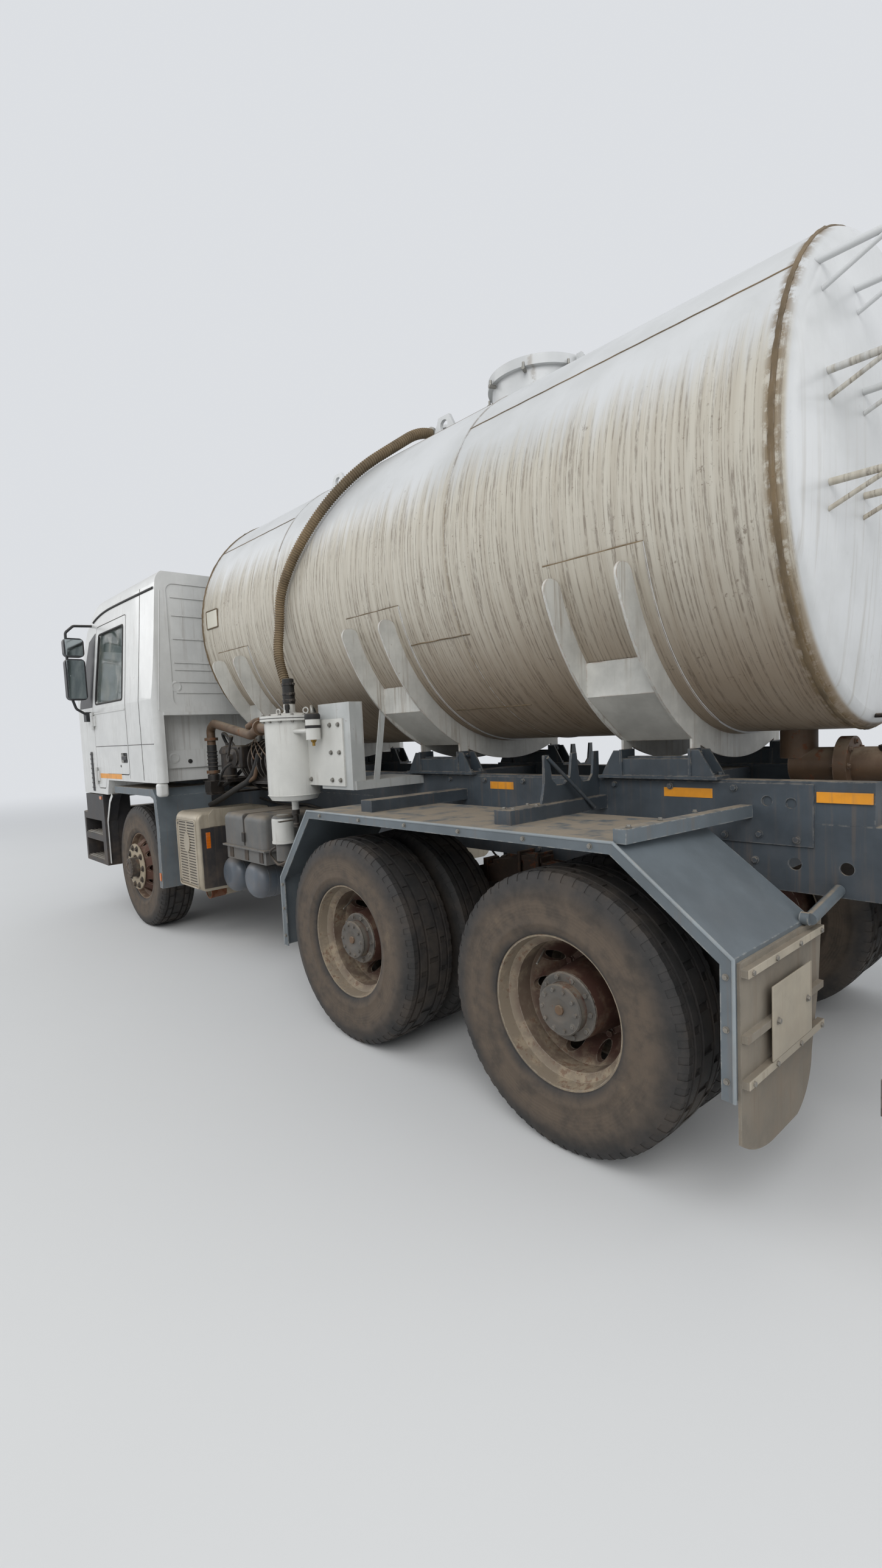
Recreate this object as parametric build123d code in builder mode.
# Vacuum tanker truck on a three-axle chassis with a long cab, in millimetres.
# X points forward, Y to the truck's left, Z up. The origin is on the ground,
# under the middle of the truck's length and width.
from build123d import *
from math import cos, radians, sin, tan
import os

os.makedirs("parts", exist_ok=True)

# Overall plan
overall_length = 7200
body_width = 2500
front_overhang = 1450
wheelbase = 3300
bogie_spread = 1350
nose_x = overall_length / 2
tail_x = -overall_length / 2
front_axle_x = nose_x - front_overhang
drive_axle_x = front_axle_x - wheelbase
rear_axle_x = drive_axle_x - bogie_spread
bogie_x = (drive_axle_x + rear_axle_x) / 2
half_width = body_width / 2

# Clearances
seat_gap = 0.3
running_gap = 6
panel_gap = 8

# Tyres and wheels
tyre_radius = 535
tyre_width = 305
bead_radius = 286
rim_half_width = 125
rim_flange_radius = 300
rim_wall = 9
wheel_offset = 165
dual_spacing = 345
front_tyre_y = 1010
outer_dual_y = 1093
inner_dual_y = outer_dual_y - dual_spacing
dual_face_y = outer_dual_y - dual_spacing / 2
hand_hole_count = 10
hand_hole_diameter = 58
hand_hole_circle = 214
axle_z = tyre_radius

# Chassis rails and the tank's subframe on them
rail_outer_y = 430
rail_height = 270
rail_flange = 80
rail_wall = 10
rail_top = 1190
rail_bottom = rail_top - rail_height
rail_rear_x = tail_x + 50
rail_front_x = 3350
subframe_height = 160
subframe_top = rail_top + subframe_height
subframe_front_x = 1040
subframe_rear_x = -3330
fishplate_wall = 8

# Tank
tank_radius = 925
tank_z = 2460
tank_front_x = 1020
tank_rear_x = -3180
front_dish = 110
rear_dish = 120
knuckle_radius = 60
pad_wall = 8
saddle_depth = 115
saddle_wall = 12
saddle_tip_angle = 17
pad_tip_angle = 13
saddle_half_spacing = 166
saddle_xs = (-2490, -1080, 585)
foot_y = 415
foot_width = 70

# Manhole on the tank's crown
manhole_x = -1560
manhole_radius = 270
manhole_wall = 14
manhole_top = 3500
lid_thickness = 36

# Suction hose
hose_radius = 31

# Cab
cab_rear_x = 1300
cab_front_x = 3520
cab_half_width = 1240
cab_wall = 45
cab_floor_z = 1160
arch_top_z = 1295
roof_z = 2945
header_z = 2690
screen_base_z = 1900
waist_z = 1950
roof_half_width = 1150
door_rear_x = 1950
door_front_x = 2850
door_top_z = 2700
glass_wall = 6
glass_inset = 14

# Bumper and cab pivot
bumper_bottom = 480
bumper_top = 960
cab_pivot_x = cab_front_x - 85
cab_pivot_z = bumper_top + 100
pivot_pin_radius = 22

# Steering
kingpin_y = 880
kingpin_radius = 22
boss_radius = 50
boss_height = 110
arm_length = 180
arm_y = 0


def side_plane(x, y, side):
    """A plane at a wheel: its x axis points outboard, its y axis up."""
    return Plane(origin=(x, side * y, axle_z), x_dir=(0, side, 0), z_dir=(side, 0, 0))


def block(x0, x1, y0, y1, z0, z1, mode=Mode.ADD):
    """A box given by its limits, in the part that is being built."""
    with Locations(((x0 + x1) / 2, (y0 + y1) / 2, (z0 + z1) / 2)):
        Box(abs(x1 - x0), abs(y1 - y0), abs(z1 - z0), mode=mode)


def rod(start, end, radius, mode=Mode.ADD):
    """A round bar from one point to another."""
    run = Vector(*end) - Vector(*start)
    with Locations(Plane(origin=Vector(*start), z_dir=run.normalized()).location):
        Cylinder(radius, run.length, align=(Align.CENTER, Align.CENTER, Align.MIN), mode=mode)


def on_tank(x, angle, reach=0):
    """A point on the tank's side, by its angle above the horizontal."""
    radius = tank_radius + reach
    return (x, radius * cos(radians(angle)), tank_z + radius * sin(radians(angle)))


# Wheels: each with its tyres on one side of an axle
wheel_table = (
    # name, axle x, tyre distances from the middle, side
    ("front_left", front_axle_x, (front_tyre_y,), 1),
    ("front_right", front_axle_x, (front_tyre_y,), -1),
    ("drive_left", drive_axle_x, (outer_dual_y, inner_dual_y), 1),
    ("drive_right", drive_axle_x, (outer_dual_y, inner_dual_y), -1),
    ("rear_left", rear_axle_x, (outer_dual_y, inner_dual_y), 1),
    ("rear_right", rear_axle_x, (outer_dual_y, inner_dual_y), -1),
)
tyre_half = tyre_width / 2
bead_half = rim_half_width - 12
tyre_bore = bead_radius + seat_gap


def tyre_section():
    """Half section of a tyre: bore, bulging side walls, shoulders and tread."""
    bulge_radius = 0.46 * tyre_bore + 0.54 * tyre_radius
    shoulder = (tyre_half - 14, tyre_radius - 32)
    with BuildSketch() as section:
        with BuildLine():
            Line((0, tyre_bore), (bead_half, tyre_bore))
            ThreePointArc((bead_half, tyre_bore), (tyre_half, bulge_radius), shoulder)
            Polyline(shoulder, (tyre_half - 34, tyre_radius - 4), (0, tyre_radius))
            mirror(about=Plane.YZ)
        make_face()
    return section.sketch


def rim_section(face, out):
    """Half section of a rim and its disc, whose hub face lies at face.

    out is 1 where the disc bulges outboard and -1 where it is dished.
    """
    well = bead_radius - 26
    inner = well - rim_wall
    with BuildSketch() as section:
        with BuildLine():
            Polyline(
                (-rim_half_width * out, rim_flange_radius),
                (-bead_half * out, bead_radius),
                (-70 * out, bead_radius),
                (-45 * out, well),
                (50 * out, well),
                (75 * out, bead_radius),
                (bead_half * out, bead_radius),
                (rim_half_width * out, rim_flange_radius),
                (rim_half_width * out, rim_flange_radius - 14),
                (77 * out, bead_radius - rim_wall),
                (60 * out, inner),
                (face - 40 * out, 205),
                (face, 178),
                (face, 80),
                (face - 14 * out, 80),
                (face - 14 * out, 172),
                (face - 52 * out, 194),
                (30 * out, inner),
                (-47 * out, inner),
                (-72 * out, bead_radius - rim_wall),
                (-rim_half_width * out, rim_flange_radius - 14),
                close=True,
            )
        make_face()
    return section.sketch


hub_radius = 92
hub_reach = 70
drum_radius = 208
front_drum_in = 968
front_drum_out = 1100
spindle_radius = 46
dual_drum_in = 600
dual_hub_radius = 132
dual_hub_y = 1140
dual_cap_y = 1186
dual_bore_radius = 56

for name, axle_x, tyre_ys, side in wheel_table:
    spin_axis = Axis((axle_x, 0, axle_z), (0, 1, 0))
    wheel_front = len(tyre_ys) == 1
    plural = "" if wheel_front else "s"

    with BuildPart() as tyres:
        for tyre_y in tyre_ys:
            with BuildSketch(side_plane(axle_x, tyre_y, side)):
                add(tyre_section())
        revolve(axis=spin_axis)
    tyres.part.label = f"{name}_tyre{plural}"
    export_step(tyres.part, f"parts/{name}_tyre{plural}.step")

    with BuildPart() as rims:
        if wheel_front:
            with BuildSketch(side_plane(axle_x, front_tyre_y, side)):
                add(rim_section(wheel_offset, 1))
            with BuildSketch(side_plane(axle_x, 0, side)):
                with BuildLine():
                    Polyline(
                        (front_drum_in, spindle_radius + seat_gap),
                        (front_drum_in, drum_radius),
                        (front_drum_out, drum_radius),
                        (front_drum_out + 20, hub_radius),
                        (front_tyre_y + wheel_offset + hub_reach, hub_radius - 10),
                        (front_tyre_y + wheel_offset + hub_reach, 0),
                        (front_drum_out + 20, 0),
                        (front_drum_out + 20, spindle_radius + seat_gap),
                        close=True,
                    )
                make_face()
        else:
            with BuildSketch(side_plane(axle_x, outer_dual_y, side)):
                add(rim_section(-dual_spacing / 2, -1))
            with BuildSketch(side_plane(axle_x, inner_dual_y, side)):
                add(rim_section(dual_spacing / 2, 1))
            with BuildSketch(side_plane(axle_x, 0, side)):
                with BuildLine():
                    Polyline(
                        (dual_drum_in, dual_bore_radius + seat_gap),
                        (dual_drum_in, drum_radius),
                        (dual_face_y - 60, drum_radius),
                        (dual_face_y - 30, dual_hub_radius + 20),
                        (dual_hub_y, dual_hub_radius),
                        (dual_hub_y, 98),
                        (dual_cap_y, 90),
                        (dual_cap_y, 0),
                        (dual_face_y, 0),
                        (dual_face_y, dual_bore_radius + seat_gap),
                        close=True,
                    )
                make_face()
        revolve(axis=spin_axis)
        hole_y = front_tyre_y + 40 if wheel_front else dual_face_y + 2
        hole_plane = Plane(origin=(axle_x, side * hole_y, axle_z), x_dir=(1, 0, 0), z_dir=(0, side, 0))
        with BuildSketch(hole_plane):
            with PolarLocations(hand_hole_circle, hand_hole_count):
                Circle(hand_hole_diameter / 2)
        extrude(amount=150, mode=Mode.SUBTRACT)
    rims.part.label = f"{name}_rim{plural}"
    export_step(rims.part, f"parts/{name}_rim{plural}.step")

# Front axle beam with its kingpin bosses, and the steered knuckles
beam_half = 45
beam_depth = 95
beam_low_z = 430
fork_gap = 6
fork_height = 46
fork_plate_in = boss_radius + running_gap
fork_plate_out = fork_plate_in + 24
with BuildPart() as front_axle_beam:
    with BuildSketch(Plane.YZ.offset(front_axle_x)):
        with BuildLine():
            Polyline(
                (-kingpin_y, axle_z + 40), (-kingpin_y, axle_z - 40), (90 - kingpin_y, axle_z - 40),
                (-620, beam_low_z - beam_depth / 2), (620, beam_low_z - beam_depth / 2),
                (kingpin_y - 90, axle_z - 40), (kingpin_y, axle_z - 40), (kingpin_y, axle_z + 40),
                (640, beam_low_z + beam_depth / 2), (-640, beam_low_z + beam_depth / 2), close=True,
            )
        make_face()
    extrude(amount=beam_half, both=True)
    for side in (1, -1):
        rod((front_axle_x, side * kingpin_y, axle_z - boss_height / 2),
            (front_axle_x, side * kingpin_y, axle_z + boss_height / 2), boss_radius)
    for side in (1, -1):
        rod((front_axle_x, side * kingpin_y, axle_z - boss_height),
            (front_axle_x, side * kingpin_y, axle_z + boss_height), kingpin_radius + seat_gap, Mode.SUBTRACT)
front_axle_beam.part.label = "front_axle_beam"
export_step(front_axle_beam.part, "parts/front_axle_beam.step")

fork_in = boss_height / 2 + fork_gap
fork_out = fork_in + fork_height
for side, name in ((1, "left_knuckle"), (-1, "right_knuckle")):
    with BuildPart() as knuckle:
        pin_y = side * kingpin_y
        plate_in = side * (kingpin_y + fork_plate_in)
        plate_out = side * (kingpin_y + fork_plate_out)
        for low, high in ((-fork_out, -fork_in), (fork_in, fork_out)):
            rod((front_axle_x, pin_y, axle_z + low), (front_axle_x, pin_y, axle_z + high), boss_radius)
            block(front_axle_x - boss_radius, front_axle_x + boss_radius, pin_y, plate_out,
                  axle_z + low, axle_z + high)
        block(front_axle_x - boss_radius, front_axle_x + boss_radius, plate_in, plate_out,
              axle_z - fork_out, axle_z + fork_out)
        rod((front_axle_x, pin_y, axle_z - fork_out), (front_axle_x, pin_y, axle_z + fork_out), kingpin_radius)
        rod((front_axle_x, plate_in, axle_z), (front_axle_x, side * front_drum_out, axle_z), spindle_radius)
        arm_z = axle_z - fork_out + fork_height / 2
        arm_end = (front_axle_x - arm_length, side * (kingpin_y - arm_y), arm_z)
        rod((front_axle_x, pin_y, arm_z), arm_end, 18)
        rod((arm_end[0], arm_end[1], arm_z - 22), (arm_end[0], arm_end[1], arm_z + 22), 26)
    knuckle.part.label = name
    export_step(knuckle.part, f"parts/{name}.step")

# Track rod between the two steering arms
rod_z = axle_z - fork_out + fork_height / 2 - 22 - seat_gap - 20
with BuildPart() as track_rod:
    rod_x = front_axle_x - arm_length
    rod((rod_x, arm_y - kingpin_y, rod_z), (rod_x, kingpin_y - arm_y, rod_z), 17)
    for side in (1, -1):
        rod((rod_x, side * (kingpin_y - arm_y), rod_z - 20), (rod_x, side * (kingpin_y - arm_y), rod_z + 20), 28)
track_rod.part.label = "track_rod"
export_step(track_rod.part, "parts/track_rod.step")

# Front leaf springs on their frame brackets
leaf_width = 80
leaf_thickness = 16
front_spring_y = 455
front_spring_rise = 70
front_spring_table = (760, 620, 470, 320)  # half length of each leaf, from the longest
front_spring_seat = beam_low_z + beam_depth / 2 + 70
with BuildPart() as front_springs:
    for side in (1, -1):
        for number, half_leaf in enumerate(front_spring_table):
            drop = number * leaf_thickness
            rise = front_spring_rise * (half_leaf / front_spring_table[0]) ** 2
            base = front_spring_seat + len(front_spring_table) * leaf_thickness - drop
            with BuildSketch(Plane.XZ.offset(-side * front_spring_y)):
                with BuildLine():
                    lower = ThreePointArc(
                        (front_axle_x - half_leaf, base - leaf_thickness + rise), (front_axle_x, base - leaf_thickness),
                        (front_axle_x + half_leaf, base - leaf_thickness + rise)
                    )
                    upper = ThreePointArc(
                        (front_axle_x - half_leaf, base + rise), (front_axle_x, base),
                        (front_axle_x + half_leaf, base + rise)
                    )
                    Line(lower @ 0, upper @ 0)
                    Line(lower @ 1, upper @ 1)
                make_face()
            extrude(amount=leaf_width / 2, both=True)
        block(front_axle_x - 70, front_axle_x + 70, side * (front_spring_y - 45), side * (front_spring_y + 45),
              beam_low_z + beam_depth / 2 + seat_gap, front_spring_seat - seat_gap)
        spring_end_z = front_spring_seat + len(front_spring_table) * leaf_thickness + front_spring_rise
        for end in (-1, 1):
            end_x = front_axle_x + end * (front_spring_table[0] - 20)
            block(end_x - 35, end_x + 35, side * (front_spring_y - 38), side * (front_spring_y + 38),
                  spring_end_z + seat_gap, rail_bottom - seat_gap)
front_springs.part.label = "front_springs"
export_step(front_springs.part, "parts/front_springs.step")

# Driven axles: banjo housings with their differentials
housing_radius = 205
tube_radius = 78
with BuildPart() as rear_axles:
    for axle_x in (drive_axle_x, rear_axle_x):
        for side in (1, -1):
            with BuildSketch(side_plane(axle_x, 0, side)):
                with BuildLine():
                    dome = ThreePointArc((0, housing_radius), (115, 168), (170, 105))
                    Polyline(dome @ 1, (330, tube_radius), (dual_drum_in - running_gap, tube_radius),
                             (dual_drum_in - running_gap, dual_bore_radius), (dual_face_y - 10, dual_bore_radius),
                             (dual_face_y - 10, 0), (0, 0), dome @ 0)
                make_face()
        revolve(axis=Axis((axle_x, 0, axle_z), (0, 1, 0)))
        nose = axle_x + housing_radius + 110
        rod((axle_x, 0, axle_z), (nose, 0, axle_z), 92)
rear_axles.part.label = "rear_axles"
export_step(rear_axles.part, "parts/rear_axles.step")

# Rear leaf springs: turned over the trunnion between the two axles
bogie_spring_y = 500
bogie_leaf_table = (700, 590, 480, 370, 260)  # half length of each leaf, from the lowest
bogie_leaf_thickness = 24
bogie_leaf_drop = 150
bogie_leaf_base = axle_z + tube_radius + 40 + bogie_leaf_drop
trunnion_z = bogie_leaf_base - 50
trunnion_radius = 42
with BuildPart() as rear_suspension:
    for side in (1, -1):
        for number, half_leaf in enumerate(bogie_leaf_table):
            base = bogie_leaf_base + number * bogie_leaf_thickness
            drop = bogie_leaf_drop * (half_leaf / bogie_leaf_table[0]) ** 2
            with BuildSketch(Plane.XZ.offset(-side * bogie_spring_y)):
                with BuildLine():
                    lower = ThreePointArc((bogie_x - half_leaf, base - drop), (bogie_x, base),
                                          (bogie_x + half_leaf, base - drop))
                    upper = ThreePointArc(
                        (bogie_x - half_leaf, base - drop + bogie_leaf_thickness),
                        (bogie_x, base + bogie_leaf_thickness),
                        (bogie_x + half_leaf, base - drop + bogie_leaf_thickness)
                    )
                    Line(lower @ 0, upper @ 0)
                    Line(lower @ 1, upper @ 1)
                make_face()
            extrude(amount=leaf_width / 2, both=True)
        spring_in = bogie_spring_y - 50
        spring_out = bogie_spring_y + 50
        block(bogie_x - 90, bogie_x + 90, side * spring_in, side * spring_out,
              bogie_leaf_base - 90, bogie_leaf_base - seat_gap)
        top = bogie_leaf_base + len(bogie_leaf_table) * bogie_leaf_thickness
        block(bogie_x - 80, bogie_x + 80, side * spring_in, side * spring_out, top + seat_gap, top + 26)
        with BuildSketch(Plane.XZ.offset(-side * (rail_outer_y - 20))):
            with BuildLine():
                Polyline((bogie_x - 260, rail_bottom - seat_gap), (bogie_x - 110, bogie_leaf_base - 110),
                         (bogie_x + 110, bogie_leaf_base - 110), (bogie_x + 260, rail_bottom - seat_gap),
                         close=True)
            make_face()
            with Locations((bogie_x, trunnion_z)):
                Circle(trunnion_radius + seat_gap, mode=Mode.SUBTRACT)
        extrude(amount=20, both=True)
        for axle_x in (drive_axle_x, rear_axle_x):
            block(axle_x - 60, axle_x + 60, side * spring_in, side * spring_out,
                  axle_z + 30, bogie_leaf_base - bogie_leaf_drop - seat_gap)
            rod((axle_x, side * 400, axle_z), (axle_x, side * 590, axle_z), tube_radius + seat_gap, Mode.SUBTRACT)
    trunnion_end = bogie_spring_y - 50 - seat_gap
    rod((bogie_x, -trunnion_end, trunnion_z), (bogie_x, trunnion_end, trunnion_z), trunnion_radius)
rear_suspension.part.label = "rear_suspension"
export_step(rear_suspension.part, "parts/rear_suspension.step")

# Ladder frame: two channel rails, open inwards, and the cross members between
cross_xs = (-3450, -2935, bogie_x, -600, 300, 1060, 2860, 3300)
rail_hole_xs = (-3380, -3240, -3060, -2080, -1570, -560, -60, 900)
rail_hole_z = rail_bottom + 110
with BuildPart() as ladder_frame:
    with BuildSketch(Plane.YZ.offset(rail_rear_x)):
        for side in (1, -1):
            with Locations((side * (rail_outer_y - rail_flange / 2), rail_bottom + rail_height / 2)):
                Rectangle(rail_flange, rail_height)
            with Locations((side * (rail_outer_y - rail_wall - rail_flange / 2), rail_bottom + rail_height / 2)):
                Rectangle(rail_flange, rail_height - 2 * rail_wall, mode=Mode.SUBTRACT)
    extrude(amount=rail_front_x - rail_rear_x)
    with BuildSketch(Plane.XZ.offset(-rail_outer_y - 5)):
        with Locations(*[(x, rail_hole_z) for x in rail_hole_xs]):
            Circle(24)
    extrude(amount=2 * rail_outer_y + 10, mode=Mode.SUBTRACT)
    cross_half = rail_outer_y - rail_wall - seat_gap
    for x in cross_xs:
        block(x - 4, x + 4, -cross_half, cross_half, rail_bottom + 30, rail_top - 30)
        for z in (rail_bottom + 30, rail_top - 38):
            block(x, x + 60, -cross_half, cross_half, z, z + 8)
ladder_frame.part.label = "ladder_frame"
export_step(ladder_frame.part, "parts/ladder_frame.step")

# Subframe that carries the tank: rails on the chassis, cross boxes and posts under each saddle,
# the bolted side plates, and the outriggers of the rear fenders
subframe_rail = 75
fishplate_rear_x = -3130
fishplate_front_x = -380
fishplate_holes = ((-2960, 1270), (-3050, 1264))  # x, z
outrigger_xs = (-2180, -1240)
outrigger_half = 45
outrigger_height = 60
outrigger_end = 1120
fender_in_y = 650
fender_out_y = half_width
fender_top_z = 1205
post_half = 285
post_half_width = 60
post_height = 130
post_base = 14
post_box = 88
gusset_reach = 105
gusset_wall = 8
cradle_places = ((1, -2180), (-1, -2180), (-1, -1240))  # side, x
cradle_low = fender_top_z + outrigger_height + seat_gap
cradle_points = (
    # y, z of a plate with two notches that hold hoses
    (441, cradle_low), (870, cradle_low), (848, 1350), (845, 1475), (812, 1475), (795, 1370), (765, 1340), (705, 1340),
    (665, 1370), (648, 1475), (612, 1475), (598, 1370), (570, 1340), (520, 1340), (492, 1370), (478, 1475),
    (441, 1475),
)
with BuildPart() as tank_subframe:
    for side in (1, -1):
        block(subframe_rear_x, subframe_front_x, side * (rail_outer_y - subframe_rail), side * rail_outer_y,
              rail_top + seat_gap, subframe_top)
        plate_in = side * (rail_outer_y + seat_gap)
        plate_out = side * (rail_outer_y + fishplate_wall)
        block(fishplate_rear_x, fishplate_front_x, plate_in, plate_out, rail_top - 90, subframe_top - 10)
        for x, z in fishplate_holes:
            rod((x, plate_in, z), (x, side * (rail_outer_y + 2 * fishplate_wall), z), 20, Mode.SUBTRACT)
        for x in outrigger_xs:
            block(x - outrigger_half, x + outrigger_half, side * (rail_outer_y + fishplate_wall + seat_gap),
                  side * outrigger_end, fender_top_z + seat_gap, fender_top_z + outrigger_height)
    for side, x in cradle_places:
        with BuildSketch(Plane.YZ.offset(x)):
            with BuildLine():
                Polyline(*[(side * y, z) for y, z in cradle_points], close=True)
            make_face()
        extrude(amount=6, both=True)
    for x in saddle_xs:
        for side in (1, -1):
            post_low = subframe_top + post_base
            block(x - post_half, x + post_half, side * (foot_y - post_half_width),
                  side * (foot_y + post_half_width), subframe_top + seat_gap, post_low)
            block(x - saddle_half_spacing, x + saddle_half_spacing, side * (foot_y - 48), side * (foot_y + 48),
                  post_low, subframe_top + post_box)
            block(x - 150, x + 150, side * (foot_y - 22), side * (foot_y + 22), subframe_top + post_box,
                  subframe_top + post_box + 10)
            for end in (-1, 1):
                plate_x = x + end * saddle_half_spacing
                block(plate_x - saddle_wall / 2, plate_x + saddle_wall / 2, side * (foot_y - 55),
                      side * (foot_y + 55), post_low, subframe_top + post_height)
                for across in (-46, 46):
                    with BuildSketch(Plane.XZ.offset(-side * foot_y - across)):
                        with BuildLine():
                            Polyline((plate_x, post_low), (plate_x + end * gusset_reach, post_low),
                                     (plate_x + end * (gusset_reach - 15), post_low + 30),
                                     (plate_x + end * 40, subframe_top + post_height - 4),
                                     (plate_x, subframe_top + post_height - 4), close=True)
                        make_face()
                    extrude(amount=gusset_wall / 2, both=True)
        beam_half_y = rail_outer_y - subframe_rail - seat_gap
        block(x - 60, x + 60, -beam_half_y, beam_half_y, subframe_top - 100, subframe_top)
tank_subframe.part.label = "tank_subframe"
export_step(tank_subframe.part, "parts/tank_subframe.step")

# Tank: barrel and dished heads, with the doubler pads under the saddles
tank_axis = Axis((0, 0, tank_z), (1, 0, 0))
pad_half = 230


def head_arcs(end_x, dish, out, radius):
    """A dished head's knuckle arc and its crown arc, centred on the tank's axis."""
    knuckle_out = 0.46 * dish
    crown_edge = radius - knuckle_radius
    crown_rise = dish - knuckle_out
    sphere = (crown_edge ** 2 + crown_rise ** 2) / (2 * crown_rise)
    middle_drop = sphere - (sphere ** 2 - (crown_edge / 2) ** 2) ** 0.5
    knuckle = ThreePointArc((end_x, radius), (end_x + out * 0.7 * knuckle_out, radius - 0.38 * knuckle_radius),
                            (end_x + out * knuckle_out, crown_edge))
    crown = ThreePointArc(knuckle @ 1, (end_x + out * (dish - middle_drop), crown_edge / 2), (end_x + out * dish, 0))
    return knuckle, crown


def tank_body(grow=0):
    """The tank's closed form, grown by a clearance where fittings are cut to seat on it."""
    with BuildPart() as body:
        with BuildSketch(Plane(origin=(0, 0, tank_z), x_dir=(1, 0, 0), z_dir=(0, -1, 0))):
            with BuildLine():
                front_knuckle, front_crown = head_arcs(tank_front_x, front_dish + grow, 1, tank_radius + grow)
                rear_knuckle, rear_crown = head_arcs(tank_rear_x, rear_dish + grow, -1, tank_radius + grow)
                Line(front_knuckle @ 0, rear_knuckle @ 0)
                Line(front_crown @ 1, rear_crown @ 1)
            make_face()
        revolve(axis=tank_axis)
    return body.part


with BuildPart() as tank_shell:
    add(tank_body())
    for x in saddle_xs:
        pad_edge = Vector(0, cos(radians(pad_tip_angle)), -sin(radians(pad_tip_angle)))
        with BuildSketch(Plane(origin=(x, 0, tank_z), x_dir=(1, 0, 0), z_dir=Vector(1, 0, 0).cross(pad_edge))):
            with Locations((0, tank_radius)):
                Rectangle(2 * pad_half, 2 * pad_wall)
        revolve(axis=tank_axis, revolution_arc=2 * pad_tip_angle - 180)
tank_shell.part.label = "tank_shell"
export_step(tank_shell.part, "parts/tank_shell.step")

# Saddles: crescent plates in pairs, boxed between, on feet over the posts
saddle_in = tank_radius + pad_wall + seat_gap
saddle_out = tank_radius + saddle_depth
box_y = 720
with BuildPart() as tank_saddles:
    for x in saddle_xs:
        for end in (-1, 1):
            plate_x = x + end * saddle_half_spacing
            with BuildSketch(Plane(origin=(plate_x, 0, tank_z), x_dir=(0, 1, 0), z_dir=(1, 0, 0))):
                Circle(saddle_out)
                Circle(saddle_in, mode=Mode.SUBTRACT)
                with Locations((0, tank_radius * (1 - sin(radians(saddle_tip_angle))))):
                    Rectangle(3 * tank_radius, 2 * tank_radius, mode=Mode.SUBTRACT)
                fillet(vertices().group_by(Axis.Y)[-1], saddle_depth * 0.4)
            extrude(amount=saddle_wall / 2, both=True)
            for side in (1, -1):
                foot_low = subframe_top + post_height + seat_gap
                foot_high = tank_z - (saddle_out ** 2 - (foot_y + foot_width / 2) ** 2) ** 0.5 + 30
                block(plate_x - saddle_wall / 2, plate_x + saddle_wall / 2, side * (foot_y - foot_width / 2),
                      side * (foot_y + foot_width / 2), foot_low, foot_high)
        plate_top = tank_z - (saddle_in ** 2 - box_y ** 2) ** 0.5 - 6
        plate_low = tank_z - (saddle_out ** 2 - box_y ** 2) ** 0.5 + 5
        web_low = tank_z - (saddle_out ** 2 - 430 ** 2) ** 0.5 + 5
        inner_half = saddle_half_spacing - saddle_wall / 2
        for side in (1, -1):
            with BuildSketch(Plane.YZ.offset(x)):
                with BuildLine():
                    Polyline(
                        (side * box_y, plate_top), (side * box_y, plate_low), (side * 430, web_low),
                        (side * 430, web_low + 10), (side * (box_y - 10), plate_low + 8),
                        (side * (box_y - 10), plate_top - 8), close=True,
                    )
                make_face()
            extrude(amount=inner_half, both=True)
tank_saddles.part.label = "tank_saddles"
export_step(tank_saddles.part, "parts/tank_saddles.step")

# Fittings on the tank: lifting lugs, outlet box on top, ladder rungs on the rear head
crown_z = tank_z + tank_radius
lug_xs = (120, -1010)
lug_y = 225
lug_wall = 22
outlet_x = -860
elbow_z = crown_z + 48
elbow_out_y = 190
rung_zs = (3050, 2700, 2350)
rung_out_y = 665
rung_in_y = 400
rung_radius = 12
rung_brace_drop = 110
rung_reach = 150
rear_head_x = tank_rear_x - rear_dish
with BuildPart() as tank_fittings:
    for x in lug_xs:
        lug_low = tank_z + (tank_radius ** 2 - lug_y ** 2) ** 0.5 - 12
        with BuildSketch(Plane.XZ.offset(-lug_y)):
            with BuildLine():
                Polyline((x - 90, lug_low), (x - 90, lug_low + 50), (x - 45, lug_low + 135),
                         (x + 45, lug_low + 135), (x + 90, lug_low + 50), (x + 90, lug_low), close=True)
            make_face()
            with Locations((x, lug_low + 82)):
                Circle(32, mode=Mode.SUBTRACT)
        extrude(amount=lug_wall / 2, both=True)
    rod((outlet_x, 60, crown_z - 20), (outlet_x, 60, crown_z + 92), 70)
    rod((outlet_x, 60, crown_z + 92), (outlet_x, 60, crown_z + 108), 84)
    rod((outlet_x, 60, elbow_z), (outlet_x, elbow_out_y, elbow_z), hose_radius + 6)
    rung_x = rear_head_x - rung_reach
    for z in rung_zs:
        for y in (rung_out_y, rung_in_y):
            rod((rear_head_x + 100, y, z), (rung_x, y, z), rung_radius)
            rod((rear_head_x + 100, y, z - rung_brace_drop), (rung_x, y, z), rung_radius - 4)
        rod((rung_x, rung_out_y + rung_radius, z), (rung_x, rung_in_y - rung_radius, z), rung_radius)
    add(tank_body(seat_gap), mode=Mode.SUBTRACT)
tank_fittings.part.label = "tank_fittings"
export_step(tank_fittings.part, "parts/tank_fittings.step")

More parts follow.
